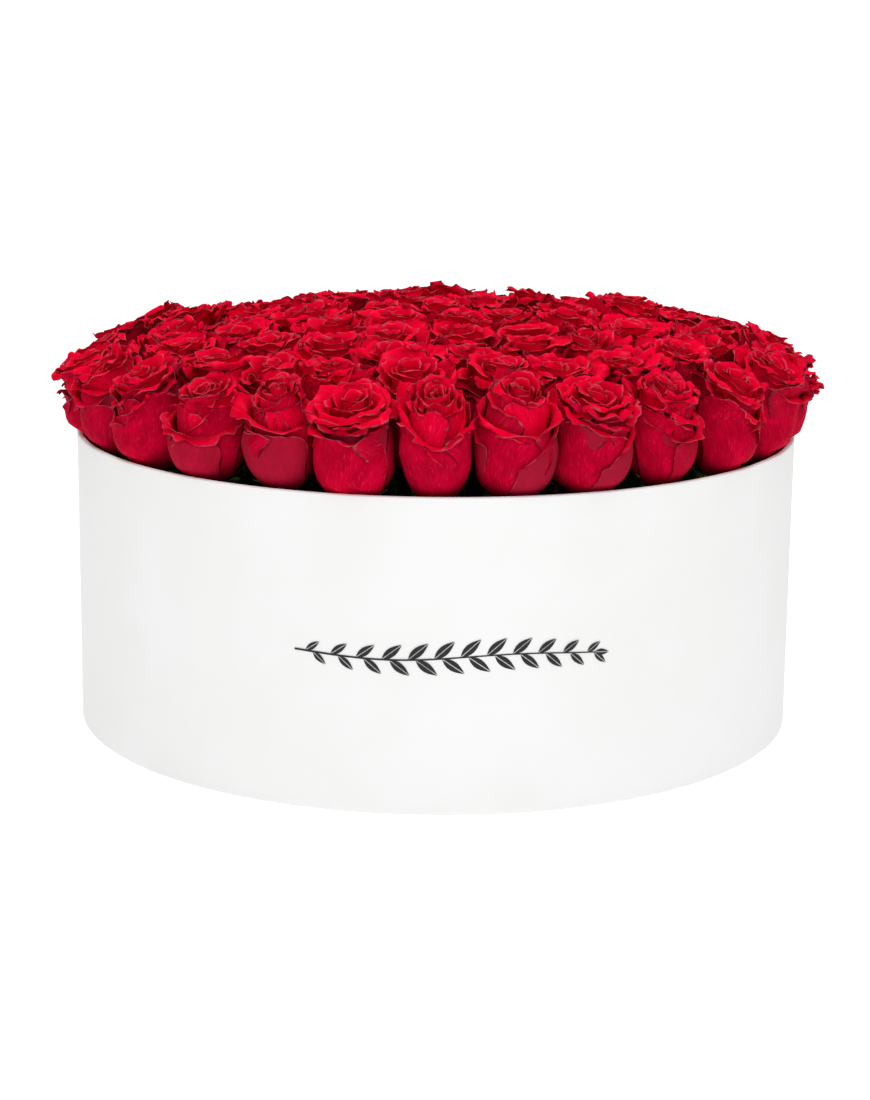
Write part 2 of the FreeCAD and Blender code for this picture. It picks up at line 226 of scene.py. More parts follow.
# Radius and height of points up the middle of a petal, from claw to lip, for four stages from the
# bud outwards.
PETAL_STAGES = [
    (0.00, [(1.0, 6), (4.0, 17), (5.5, 31), (5.0, 43), (3.8, 52), (3.2, 57.5), (4.5, 61.0)]),
    (0.36, [(1.5, 4), (8.0, 14), (12.6, 28), (12.5, 42), (11.2, 51), (12.0, 57.0), (15.0, 60.5)]),
    (0.72, [(2.5, 2), (12.0, 9), (18.6, 21), (17.0, 38), (15.6, 48.5), (18.2, 55.0), (22.5, 58.0)]),
    (1.00, [(3.5, 0), (12.0, 6), (19.6, 17), (20.6, 29), (17.8, 40), (18.2, 48), (21.5, 54.5)]),
]
CLAW_WIDTH = 0.22  # of the full width
WRAP_RADIUS_MIN = 5.0  # a petal never winds more tightly than this
FULL_WIDTH_AT = 0.78  # of the way up


def smooth_curve(points, per_span=10):
    """A smooth curve through the points (Catmull-Rom), as many samples to each span."""
    points = np.asarray(points, float)
    ends = np.vstack([2 * points[0] - points[1], points, 2 * points[-1] - points[-2]])
    t = np.linspace(0, 1, per_span, endpoint=False)[:, None]
    spans = []
    for a, b, c, d in zip(ends, ends[1:], ends[2:], ends[3:]):
        spans.append(0.5 * (2 * b + (c - a) * t + (2 * a - 5 * b + 4 * c - d) * t ** 2
                            + (3 * b - a - 3 * c + d) * t ** 3))
    return np.vstack(spans + [points[-1:]])


def smooth_step(value, low, high):
    t = np.clip((value - low) / (high - low), 0, 1)
    return t * t * (3 - 2 * t)


def stage_points(stage):
    """The points up the middle of a petal at a stage from 0, the bud, to 1, the guard petals."""
    stages = [s for s, _ in PETAL_STAGES]
    tables = np.array([points for _, points in PETAL_STAGES], float)
    flat = tables.reshape(len(stages), -1)
    return np.array([np.interp(stage, stages, column) for column in flat.T]).reshape(-1, 2)


class PetalSheet:
    """The middle surface of a petal: x is across it and y up it, measured along the surface."""

    def __init__(self, points, turn, plan):
        curve = smooth_curve(points)
        steps = np.linalg.norm(np.diff(curve, axis=0), axis=1)
        self.lengths = np.concatenate([[0.0], np.cumsum(steps)])
        self.radii, self.heights = curve.T
        self.length = self.lengths[-1]
        self.turn, self.swirl, self.layer = turn, plan["swirl"], plan.get("layer", 0.0)
        self.wings, self.half_width = plan["wings"], plan["half_width"]

    def __call__(self, x, y):
        radius = np.interp(y, self.lengths, self.radii)
        height = np.interp(y, self.lengths, self.heights)
        angle = self.turn + x / np.maximum(radius, WRAP_RADIUS_MIN)
        up = np.clip(y / self.length, 0, 1)
        side = np.abs(x) / self.half_width
        wing = np.where(x < 0, self.wings[0], self.wings[1]) * side ** 2.5
        wing = wing * smooth_step(up, 0.35, 0.95)
        edge = self.swirl * x
        over_and_under = np.where(edge > 0, edge * side, 0.25 * np.tanh(edge))
        over_and_under = over_and_under * smooth_step(up, 0.0, 0.3)
        radius = radius + over_and_under + wing + self.layer * smooth_step(up, 0.0, 0.2)
        return np.stack([radius * np.cos(angle), radius * np.sin(angle), height - 0.25 * wing], -1)


class Lip:
    """The line across a petal past which it curls out: its height, its slope and its bend.

    A bend above zero makes a V, with softness as the length of its round bottom.
    """

    def __init__(self, height, slope, bend, softness=5.0):
        self.middle, self.slope, self.bend, self.softness = height, slope, bend, softness

    def height(self, x):
        sides = np.hypot(x, self.softness) - self.softness
        return self.middle + self.slope * x + self.bend * sides

    def steepness(self, x):
        return self.slope + self.bend * x / np.hypot(x, self.softness)


def curled(sheet, lip, radius, most):
    """The sheet with what lies past the lip rolled outwards, as far as most radians."""
    step = 0.25

    def slope_of(x, y, toward_x, toward_y):
        ahead = sheet(x + step * toward_x, y + step * toward_y)
        return ahead - sheet(x - step * toward_x, y - step * toward_y)

    def surface(x, y):
        slant = np.arctan(lip.steepness(x))
        past = np.maximum(y - lip.height(x), 0.0) * np.cos(slant)
        along_x, along_y = np.cos(slant), np.sin(slant)
        past_x, past_y = -along_y, along_x
        fx, fy = x - past * past_x, y - past * past_y
        base = sheet(fx, fy)
        up = slope_of(fx, fy, past_x, past_y)
        side = slope_of(fx, fy, along_x, along_y)
        up /= np.linalg.norm(up, axis=-1, keepdims=True) + 1e-9
        out = np.cross(side, up)
        out /= np.linalg.norm(out, axis=-1, keepdims=True) + 1e-9
        turn = np.minimum(past / radius, most)
        rest = past - turn * radius
        forward = (radius * np.sin(turn) + rest * np.cos(turn))[..., None]
        outward = (radius * (1 - np.cos(turn)) + rest * np.sin(turn))[..., None]
        return base + forward * up + outward * out

    return surface


def waves(rng, count, shortest, longest):
    """A smooth random function of place: a few crossed waves, between the two lengths given."""
    lengths = np.exp(rng.uniform(np.log(shortest), np.log(longest), count))
    headings = rng.uniform(0, tau, count)
    phases = rng.uniform(0, tau, count)

    def height(x, y):
        total = 0.0
        for length, heading, phase in zip(lengths, headings, phases):
            total = total + np.sin(tau * (x * cos(heading) + y * sin(heading)) / length + phase)
        return total / count ** 0.5

    return height


def grid_normals(points):
    """Unit normals of a grid of points. With rows up a petal they point out of the rose."""
    up = np.gradient(points, axis=0)
    across = np.gradient(points, axis=1)
    normals = np.cross(across, up)
    return normals / (np.linalg.norm(normals, axis=-1, keepdims=True) + 1e-9)


class MeshParts:
    """Points, faces, material numbers and the values that points carry, gathered for a mesh."""

    def __init__(self):
        self.points, self.quads, self.slots, self.places, self.looks = [], [], [], [], []
        self.count = 0

    def add(self, points, quads, slots, places=None, looks=None):
        self.points.append(points)
        self.quads.append(quads + self.count)
        self.slots.append(slots)
        self.places.append(np.zeros_like(points) if places is None else places)
        self.looks.append(np.zeros_like(points) if looks is None else looks)
        self.count += len(points)


def shell(parts, middle, thickness, place, look, slots):
    """Adds a thin closed sheet about a grid of points. Its sides meet in a sharp edge all round."""
    rows, columns = middle.shape[:2]
    normals = grid_normals(middle)
    half = np.full((rows, columns, 1), thickness / 2)
    half[[0, -1]] = 0
    half[:, [0, -1]] = 0
    out = np.arange(rows * columns).reshape(rows, columns)
    inner = out.copy()
    inside = np.arange((rows - 2) * (columns - 2)).reshape(rows - 2, columns - 2)
    inner[1:-1, 1:-1] = rows * columns + inside
    outer_points = (middle + normals * half).reshape(-1, 3)
    inner_points = (middle - normals * half)[1:-1, 1:-1].reshape(-1, 3)

    def cells(index):
        corners = [index[:-1, :-1], index[:-1, 1:], index[1:, 1:], index[1:, :-1]]
        return np.stack(corners, -1).reshape(-1, 4)

    quads = np.vstack([cells(out), cells(inner)[:, ::-1]])
    which = np.repeat(np.array(slots), (rows - 1) * (columns - 1))

    def both(values):
        return np.vstack([values.reshape(-1, 3), values[1:-1, 1:-1].reshape(-1, 3)])

    parts.add(np.vstack([outer_points, inner_points]), quads, which, both(place), both(look))


BACK, FACE, GREEN = 0, 1, 2  # a rose's material numbers


def petal(parts, rng, number, stage, turn, plan):
    """Adds one petal of a rose. The plan says how wide, tall, curled and crumpled it is."""
    points = stage_points(stage)
    points[:, 0] *= plan["girth"]
    points[3:, 1] += plan["lift"]
    points[-1, 0] += plan["flare"]
    points[-2, 0] += 0.45 * plan["flare"]
    half_width = plan["half_width"]
    sheet = PetalSheet(points, turn, plan)
    length = sheet.length
    columns, body_rows, lip_rows = plan["grid"]
    u = np.linspace(-1, 1, columns)
    u = np.sign(u) * (1 - (1 - np.abs(u)) ** 1.2)
    lip = Lip(length + plan["lip_at"], plan["lip_slope"], plan["lip_bend"])
    peaks = 1.3 - 0.6 * np.abs(waves(rng, 3, 0.4, 1.3)(u, 0 * u))
    strip = plan["strip"] * peaks + plan["ragged"] * waves(rng, 4, 0.07, 0.3)(u, 0 * u)
    tip = plan["tip"] * np.exp(-((u - plan["tip_at"]) / 0.11) ** 2)
    lip_height = lip.height(u * half_width)
    top = lip_height + strip + tip - plan["corners"] * np.abs(u) ** 5
    body_top = np.minimum(lip_height - 1.0, top - 1.2)
    t = 1 - (1 - np.linspace(0, 1, body_rows, endpoint=False)) ** 1.25
    s = 1 - (1 - np.linspace(0, 1, lip_rows)) ** 1.15
    y = np.vstack([t[:, None] * body_top, body_top + s[:, None] * (top - body_top)])
    opened = np.clip(y / length / FULL_WIDTH_AT, 0, 1)
    across = CLAW_WIDTH + (1 - CLAW_WIDTH) * np.sin(opened * pi / 2)
    x = u[None, :] * half_width * across
    middle = curled(sheet, lip, plan["curl_radius"], plan["curl"])(x, y)
    near_lip = np.clip((y / length - 0.45) / 0.55, 0, 1.1)
    ruffle = waves(rng, 3, *plan["ruffle_lengths"])(x, 0.3 * y) * plan["ruffle"] * near_lip ** 2
    crumple = waves(rng, 5, 5.0, 14.0)(x, y) * plan["crumple"] * (0.15 + near_lip)
    folds = 0.6 - np.abs(waves(rng, 3, 5.0, 12.0)(x, 0.6 * y))
    creases = folds * 2.4 * plan["crumple"] * near_lip ** 2
    middle = middle + grid_normals(middle) * (ruffle + crumple + creases)[..., None]
    never_at_claw = 30 * np.clip(1 - y / length / 0.4, 0, 1)
    to_side = (1 - np.abs(u))[None, :] * half_width * across + never_at_claw
    rim = np.minimum(top[None, :] - y, to_side)
    place = np.stack([u[None, :] * half_width + 0 * y, y, np.full_like(y, number)], -1)
    look = np.stack([rim, np.full_like(y, plan["tone"]), np.zeros_like(y)], -1)
    shell(parts, middle, plan["thickness"], place, look, (BACK, FACE))


# ------------------------------ one rose

GOLDEN_ANGLE = radians(137.5)
GUARD_LAYER = 0.5  # how far each guard petal lies outside the last


def guard_plan(rng, style):
    """An outer petal: broad and smooth, its lip curled out in a strip along a slanting line."""
    draw = rng.uniform
    return dict(
        girth=draw(0.99, 1.01), lift=draw(-1.5, 1.5), flare=draw(-1.5, 3.0) + style["spread"],
        swirl=rng.choice([-1, 1]) * draw(0.02, 0.06), wings=draw(0.0, 7.0, 2) + style["spread"],
        half_width=draw(26, 31) + style["spread"], grid=style["guard_grid"],
        lip_at=draw(-16, -6) - style["neck"], lip_slope=rng.normal(0, 0.45),
        lip_bend=draw(-0.3, 0.7), strip=draw(3.5, 7.0), ragged=draw(0.35, 0.8), corners=draw(8, 18),
        tip=draw(0, 3.0), tip_at=draw(-0.6, 0.6),
        curl_radius=draw(1.0, 2.2), curl=radians(draw(85, 165)),
        ruffle=draw(0.6, 1.6), ruffle_lengths=(8.0, 26.0), crumple=draw(0.25, 0.5),
        thickness=0.34, tone=draw(0.0, 1.0),
    )


def crown_plan(rng, style):
    """A petal of the open crown: its lip runs right across it, thinly rolled."""
    draw = rng.uniform
    return dict(
        girth=draw(0.97, 1.03), lift=draw(-3.0, 2.5), flare=style["open"] + draw(-2, 2),
        swirl=draw(0.02, 0.07), wings=draw(-1.0, 3.0, 2),
        half_width=draw(21, 28), grid=style["crown_grid"],
        lip_at=draw(-6, -1.5), lip_slope=rng.normal(0, 0.22), lip_bend=draw(-0.4, 0.15),
        strip=draw(2.0, 5.0), ragged=draw(0.3, 0.75), corners=draw(4, 10),
        tip=draw(0, 2.5), tip_at=draw(-0.5, 0.5),
        curl_radius=draw(0.8, 1.8), curl=radians(draw(40, 150)),
        ruffle=draw(0.7, 1.9), ruffle_lengths=(7.0, 20.0), crumple=draw(0.28, 0.6),
        thickness=0.3, tone=draw(-0.9, 0.7),
    )


def heart_plan(rng, style):
    """A petal of the heart: wound round the next one in, with a straight lip and a corner to it."""
    draw = rng.uniform
    return dict(
        girth=draw(0.93, 1.07), lift=draw(-2.0, 1.0), flare=style["open"] * 0.4 + draw(-1.5, 1),
        swirl=draw(0.06, 0.13), wings=draw(-0.5, 1.0, 2),
        half_width=draw(14, 18), grid=style["heart_grid"],
        lip_at=draw(-3, 0), lip_slope=rng.normal(0, 0.2), lip_bend=draw(-0.55, -0.05),
        strip=draw(0.6, 2.2), ragged=draw(0.15, 0.35), corners=draw(1, 4),
        tip=draw(0, 1.2), tip_at=draw(-0.3, 0.3),
        curl_radius=draw(0.8, 1.8), curl=radians(draw(10, 90)),
        ruffle=draw(0.3, 0.9), ruffle_lengths=(8.0, 18.0), crumple=draw(0.12, 0.25),
        thickness=0.28, tone=draw(-1.0, -0.4),
    )


def rose_petals(parts, rng, style):
    """All the petals of a rose, from the bud out, each a golden angle on from the last.

    A style can set how the outermost petals differ from their plans and which way they face.
    """
    kinds = [heart_plan] * style["hearts"] + [crown_plan] * style["crowns"]
    first_guard = len(kinds)
    kinds += [guard_plan] * style["guards"]
    first_given = len(kinds) - len(style["outermost"])
    turn = rng.uniform(0, tau)
    for number, kind in enumerate(kinds):
        stage = number / (len(kinds) - 1)
        plan = kind(rng, style)
        plan["layer"] = GUARD_LAYER * max(number - first_guard + 1, 0)
        # Roses inside the outer ring have their tone lowered: painted light that brightens their
        # petals against the shade they stand in.
        plan["tone"] += style["age"]
        if number >= first_given:
            plan.update(style["outermost"][number - first_given])
        petal(parts, rng, number, stage, plan.get("facing", turn), plan)
        turn += GOLDEN_ANGLE + rng.normal(0, 0.12)


def tube(parts, rings, sides, slot):
    """Adds a closed solid about the z axis through rings: height, radius and slant."""
    turns = np.arange(sides) * tau / sides
    points = [(0.0, 0.0, rings[0][0])]
    for height, radius, slant in rings:
        x, y = radius * np.cos(turns), radius * np.sin(turns)
        points.append(np.stack([x, y, height + slant * x], -1))
    points = np.vstack(points + [(0.0, 0.0, rings[-1][0])])
    quads = []
    around = np.arange(sides)
    after = (around + 1) % sides
    for ring in range(len(rings) - 1):
        low, high = 1 + ring * sides, 1 + (ring + 1) * sides
        quads.append(np.stack([low + around, low + after, high + after, high + around], -1))
    last = len(points) - 1
    top = 1 + (len(rings) - 1) * sides
    caps = [np.stack([np.zeros_like(around), 1 + after, 1 + around, 1 + around], -1),
            np.stack([np.full_like(around, last), top + around, top + after, top + after], -1)]
    quads = np.vstack(quads + caps)
    parts.add(points, quads, np.full(len(quads), slot))


def to_mesh(name, parts, materials):
    """One object from the gathered parts. Quads whose last corners are the same are triangles."""
    points = np.vstack(parts.points).astype(np.float32)
    quads = np.vstack(parts.quads)
    slots = np.concatenate(parts.slots).astype(np.int32)
    is_triangle = quads[:, 2] == quads[:, 3]
    sizes = np.where(is_triangle, 3, 4).astype(np.int32)
    keep = np.ones(quads.shape, bool)
    keep[is_triangle, 3] = False
    corners = quads[keep].astype(np.int32)
    mesh = bpy.data.meshes.new(name)
    mesh.vertices.add(len(points))
    mesh.vertices.foreach_set("co", points.ravel())
    mesh.loops.add(len(corners))
    mesh.loops.foreach_set("vertex_index", corners)
    mesh.polygons.add(len(quads))
    starts = np.concatenate([[0], np.cumsum(sizes)[:-1]]).astype(np.int32)
    mesh.polygons.foreach_set("loop_start", starts)
    mesh.polygons.foreach_set("loop_total", sizes)
    mesh.polygons.foreach_set("material_index", slots)
    for key, values in (("petal_place", parts.places), ("petal_look", parts.looks)):
        attribute = mesh.attributes.new(key, "FLOAT_VECTOR", "POINT")
        attribute.data.foreach_set("vector", np.vstack(values).astype(np.float32).ravel())
    mesh.update(calc_edges=True)
    mesh.validate()
    mesh.shade_smooth()
    for material in materials:
        mesh.materials.append(material)
    made = bpy.data.objects.new(name, mesh)
    bpy.context.scene.collection.objects.link(made)
    return made


# ------------------------------ where the roses stand

def spin(turn):
    """The matrix of a turn about z."""
    return np.array([[cos(turn), -sin(turn), 0], [sin(turn), cos(turn), 0], [0, 0, 1]])


def cad_points(node):
    return np.array([v.co for v in frame["nodes"][node].data.vertices])


def first_rose(ring):
    """One rose of a ring, read from the CAD and turned to the front.

    Gives the foot of its head, the way up its stem, the stem's length and the turn undone.
    """
    count = ROSES_IN_RING[ring]
    calyxes = cad_points(f"rose_calyxes_ring_{ring + 1}")
    stems = cad_points(f"rose_stems_ring_{ring + 1}")
    end = 0.3 * MM
    turn = 0.0
    if count > 1:
        around = np.exp(1j * count * np.arctan2(calyxes[:, 0], -calyxes[:, 1]))
        turn = np.angle(around.mean()) / count

    def nearest(points):
        points = points @ spin(turn)
        if count == 1:
            return points
        return points[np.abs(np.arctan2(points[:, 0], -points[:, 1])) < pi / count]

    calyx, stem = nearest(calyxes), nearest(stems)
    up = np.linalg.svd(stem - stem.mean(0), full_matrices=False)[2][0]
    up *= np.sign(up[2])
    heights = calyx @ up
    foot = calyx[heights > heights.max() - end].mean(0)
    up = foot - calyx[heights < heights.min() + end].mean(0)
    foot[0] = up[0] = 0.0
    up /= np.linalg.norm(up)
    stem_length = foot @ up - (stem @ up).min()
    return foot, up, stem_length, turn


# A few of the outer ring's front roses stand a degree or so to one side of their even places.
TURNED = {-5: -1.4, -4: -1.0, -2: 0.9, -1: 0.7, 1: -0.9, 2: -1.1, 4: 1.2, 5: 1.5}


def from_front(number):
    """An outer rose's place counted from the front one, with those to the left below zero."""
    count = ROSES_IN_RING[OUTER_RING]
    return (number + count // 2) % count - count // 2


def rose_places():
    """Each rose's ring, foot and axes: out of the box, round it, and up the stem."""
    places = []
    for ring, count in enumerate(ROSES_IN_RING):
        foot, up, stem_length, first_turn = first_rose(ring)
        for k in range(count):
            turn = first_turn + tau * k / count
            if ring == OUTER_RING:
                turn += radians(TURNED.get(from_front(k), 0))
            rose_up = spin(turn) @ up
            outward = spin(turn) @ np.array([0.0, -1.0, 0.0])
            outward = outward - rose_up * (outward @ rose_up)
            outward /= np.linalg.norm(outward)
            round_box = np.cross(rose_up, outward)
            places.append(dict(ring=ring, number=k, foot=spin(turn) @ foot / MM,
                               stem=stem_length / MM,
                               axes=np.array([outward, round_box, rose_up])))
    return places


def gently_held(amount, room, softness):
    """Distances toward a wall, those past room - softness pressed back so that none passes room."""
    start = room - softness
    past = np.maximum(amount - start, 0)
    return np.where(amount > start, start + softness * (1 - np.exp(-past / softness)), amount)


RIM_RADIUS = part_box("inner_lining")[1].x / MM - 0.9
RIM_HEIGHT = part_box("outer_wrap")[1].z / MM
RIM_SOFTNESS = 4.0
OPENING_OUT = 2.2  # how fast a rose may lean out above the rim
OVERLAP = 0.25  # each way, so that no slit shows between two roses
PRESS_SOFTNESS = 3.2
SWAY, SWAY_LENGTH = 1.5, 5.5  # how far the wall between two roses waves, and how quickly


def press_together(points, rose, near):
    """Presses a rose's points back from its neighbours and from the rim, as packed roses press."""
    up = rose["axes"][2]
    for other, offset, sway, phase in near:
        heights = (points - rose["foot"]) @ up
        middle_here = rose["foot"] + np.outer(heights, up)
        middle_there = other["foot"] + np.outer(heights, other["axes"][2])
        gap = middle_there - middle_here
        apart = np.linalg.norm(gap, axis=1, keepdims=True)
        toward = gap / apart
        reach = np.sum((points - middle_here) * toward, axis=1)
        room = apart[:, 0] / 2 + offset + sway * np.sin(heights / SWAY_LENGTH + phase) + OVERLAP
        held = gently_held(reach, room, PRESS_SOFTNESS)
        points = points + toward * (held - reach)[:, None]
    radius = np.hypot(points[:, 0], points[:, 1])
    above = np.maximum(points[:, 2] - RIM_HEIGHT - 1.0, 0)
    held = gently_held(radius, RIM_RADIUS + above * OPENING_OUT, RIM_SOFTNESS)
    near_wall = points[:, 2] < RIM_HEIGHT + 12
    scale = np.where(near_wall, held / np.maximum(radius, 1e-6), 1.0)
    points[:, :2] *= scale[:, None]
    return points


NEIGHBOUR_REACH = 62


def neighbours(roses, styles):
    """For each rose, those close enough to press on it, and where the wall between them lies.

    A fat rose pushes the wall toward a thin one.
    """
    rng = np.random.default_rng(11)
    found = [[] for _ in roses]
    for i, a in enumerate(roses):
        for j in range(i + 1, len(roses)):
            b = roses[j]
            if np.linalg.norm(a["foot"] - b["foot"]) < NEIGHBOUR_REACH:
                fatter = styles[i]["girth"] - styles[j]["girth"]
                offset = rng.uniform(-1.2, 1.2) + 11.0 * fatter
                phase = rng.uniform(0, tau)
                found[i].append((b, offset, SWAY, phase))
                found[j].append((a, -offset, -SWAY, phase))
    return found


def sepals(parts, rng):
    """Five narrow green sepals round the hip, most bent outwards."""
    for k in range(5):
        turn = tau * k / 5 + rng.normal(0, 0.2)
        length = rng.uniform(15, 22)
        half_width = rng.uniform(2.2, 3.2)
        droop = rng.uniform(0.4, 2.3)
        s = np.linspace(0, 1, 9)
        w = np.linspace(-1, 1, 5)
        width = half_width * np.sin(np.clip(s * 1.05 + 0.12, 0, 1) * pi) ** 0.7 * (1 - 0.6 * s)
        bend = 0.5 + droop * s
        along_r = 6.5 + np.concatenate([[0], np.cumsum(np.sin(bend[1:]))]) * length / 8
        along_z = -1.5 + np.concatenate([[0], np.cumsum(np.cos(bend[1:]))]) * length / 8
        x = width[:, None] * w[None, :]
        r = along_r[:, None] + 0 * x
        z = along_z[:, None] + 0.12 * x ** 2
        middle = np.stack([r * cos(turn) - x * sin(turn), r * sin(turn) + x * cos(turn), z], -1)
        flat = np.zeros_like(middle)
        shell(parts, middle, 0.5, flat, flat, (GREEN, GREEN))


HIP = [(-9.0, 3.2, 0), (-6.5, 4.6, 0), (-3.5, 6.4, 0), (-0.5, 6.6, 0), (1.5, 5.0, 0)]
NECK = np.array([0.0, 0.0, -9.0])  # a head tips about this point
NOD_FROM, NOD_TO = 22.0, 54.0


def rose(name, spot, near, style, rng, materials):
    """One rose: petals, hip, sepals and stem, in its place in the box."""
    head = MeshParts()
    rose_petals(head, rng, style)
    sepals(head, rng)
    tube(head, HIP, 16, GREEN)
    oval_turn = rng.uniform(0, pi)
    along = np.array([cos(oval_turn), sin(oval_turn), 0])
    oval = np.eye(3) + style["oval"] * (2 * np.outer(along, along) - np.diag([1.0, 1.0, 0.0]))
    out, over = np.radians(style["tips"])
    tip_out = np.array([[cos(out), 0, sin(out)], [0, 1, 0], [-sin(out), 0, cos(out)]])
    tip_over = np.array([[1, 0, 0], [0, cos(over), sin(over)], [0, -sin(over), cos(over)]])
    tip = (tip_out @ tip_over).T
    raised = np.array([0.0, 0.0, style["raised"]])
    size = np.array([style["girth"], style["girth"], style["tall"]]) * style["size"]
    for i, points in enumerate(head.points):
        bent = smooth_step(points[:, 2], NOD_FROM, NOD_TO)
        points[:, 2] -= style["nod"] * points[:, 0] * bent
        head.points[i] = (points @ oval * size - NECK) @ tip + NECK + raised
    stem = [(-spot["stem"] + 0.4, 2.85, 0.9), (-spot["stem"] + 14, 2.85, 0), (-24, 2.9, 0),
            (-8.5 + style["raised"], 3.0, 0)]
    tube(head, stem, 12, GREEN)
    for i, points in enumerate(head.points):
        head.points[i] = points @ spot["axes"] + spot["foot"]
    stem_points = head.points.pop()
    stretch = [len(p) for p in head.points]
    pressed = press_together(np.vstack(head.points), spot, near)
    head.points = np.split(pressed, np.cumsum(stretch)[:-1]) + [stem_points]
    head.points = [points * MM for points in head.points]
    return to_mesh(name, head, materials)


def lipped(facing, lip_at, lip_slope, lip_bend=0.0, **more):
    """A listed petal: which way it faces, and the place, slope and bend of its lip."""
    return dict(facing=facing, lip_at=lip_at, lip_slope=lip_slope, lip_bend=lip_bend, **more)


# What can be told of the outer ring's roses nearest the front, by their places from the front
# one: how open they are, how far they tip out of the box and round it in degrees, how they stand
# and are shaped, and their outermost petals, the last being the one on top.
FRONT_ROSES = {
    -6: dict(open=1.5, tips=(6, -2)),
    -5: dict(open=1.0, tips=(5, -2), raised=1.0, outermost=[
        lipped(0.1, -11, -0.4, strip=5, wings=(5, 2), tone=0.6)]),
    -4: dict(open=1.5, tips=(3, -1), raised=0.5, outermost=[
        lipped(-0.8, -12, -0.4, strip=4, wings=(6, 0), tone=0.9),
        lipped(0.2, -13, 0.65, strip=5, wings=(2, 5), tone=0.3)]),
    -3: dict(open=-6.0, tips=(0, 0), raised=0.5, tall=1.0, nod=0.15, neck=5, outermost=[
        lipped(0.35, -15, 0.95, strip=4, wings=(1, 4), tone=0.2),
        lipped(-0.15, -18, -0.25, strip=5, wings=(9, 1), tone=0.8)]),
    -2: dict(open=-8.0, tips=(-1, 0), raised=1.0, tall=1.03, nod=0.22, neck=6, outermost=[
        lipped(0.0, -14, 0.0, -0.3, strip=2.5, wings=(7, 3), tone=0.85)]),
    -1: dict(open=3.5, tips=(1, -1), raised=-2.5, tall=1.08, girth=1.09, size=1.0, nod=0.12,
             neck=2, outermost=[
                 lipped(-0.1, -10, -0.35, strip=5.5, wings=(2, 0), tone=0.0)]),
    0: dict(open=-7.5, tips=(0, 0), raised=-1.0, tall=1.12, girth=0.9, size=1.0, nod=0.28,
            neck=6, outermost=[
                lipped(0.1, -19, 0.08, 0.95, strip=5.5, wings=(5, 6), tone=0.55)]),
    1: dict(open=-8.0, tips=(0, 1), raised=-0.5, tall=1.1, nod=0.2, neck=4, outermost=[
        lipped(-0.65, -11, -0.12, strip=5.5, wings=(7, 0), tone=0.1),
        lipped(0.7, -18, 0.85, strip=5.5, wings=(0, 6), swirl=-0.05, tone=0.95)]),
    2: dict(open=0.5, tips=(1, 0), raised=0.5, tall=1.03, nod=0.12, neck=2, outermost=[
        lipped(-0.5, -9, -0.5, strip=5, wings=(1, 2), tone=0.1),
        lipped(0.75, -16, 0.75, strip=5, wings=(0, 4), swirl=-0.05, tone=1.0)]),
    3: dict(open=-4.0, tips=(-1, 0), raised=0.0, tall=1.06, nod=0.2, neck=4, outermost=[
        lipped(-0.15, -11, -0.7, strip=4, wings=(2, 2), tone=0.0),
        lipped(0.75, -18, 0.3, 0.1, strip=6, wings=(1, 5), swirl=-0.05, tone=0.7)]),
    4: dict(open=1.0, tips=(3, 2), raised=1.0, outermost=[
        lipped(0.7, -11, 0.6, strip=4, wings=(1, 5), tone=0.2),
        lipped(-0.2, -11, -0.65, strip=6, wings=(3, 5), tone=0.4)]),
    5: dict(open=0.0, tips=(6, 3), raised=1.0, outermost=[
        lipped(-0.3, -9, 0.1, 0.2, strip=5, wings=(2, 5), tone=0.3)]),
    6: dict(open=1.0, tips=(5.5, 2)),
}

# How far below the CAD's the roses stand: each ring from the centre out, and the left and the
# back at their outsides. The back right stands above it.
RING_LOWERED = [5.0, 4.5, 3.5, 2.0, 0.5, 0.0]
LEFT_LOWERED, BACK_LOWERED, BACK_RIGHT_RAISED = 3.5, 3.0, 6.0


def rose_style(rng, spot):
    """How one rose is made: its petals of each kind, and how open, tipped, nodding and large."""
    outer = spot["ring"] == OUTER_RING
    draw = rng.uniform
    style = dict(
        hearts=rng.integers(7, 10), crowns=rng.integers(5, 8), guards=5,
        open=draw(-6.0, 3.0) + (0.0 if outer else 2.0),
        oval=draw(0.0, 0.07), girth=draw(0.95, 1.05), tall=1.0,
        # Roses inside the outer ring get a lower petal tone: painted light that brightens them.
        nod=rng.normal(0.02, 0.06), neck=0.0, age=0.0 if outer else draw(-0.9, -0.1),
        guard_grid=(25, 13, 10) if outer else (19, 9, 8), crown_grid=(21, 9, 9),
        heart_grid=(15, 9, 6),
        raised=draw(-2.2, 1.8) - RING_LOWERED[spot["ring"]],
        size=draw(0.98, 1.05) + (0.0 if outer else 0.02),
        outermost=[], spread=0.0 if outer else 3.2,
        tips=np.clip(rng.normal(0, 2.8, 2), -6.0, 6.0),
    )
    x, y, _ = spot["foot"]
    style["raised"] -= (LEFT_LOWERED * np.clip(-x / 140, 0, 1)
                        + BACK_LOWERED * np.clip(y / 140, 0, 1))
    back_right = np.exp(-((x - 135) / 30) ** 2) * np.clip(y / 100, 0, 1)
    style["raised"] += BACK_RIGHT_RAISED * back_right
    if outer:
        style["tips"][0] += 2.0
        style.update(tall=draw(1.0, 1.07), nod=draw(0.05, 0.2),
                     neck=draw(0, 5))
        style.update(FRONT_ROSES.get(from_front(spot["number"]), {}))
    return style


FIRST_SEED = 1000


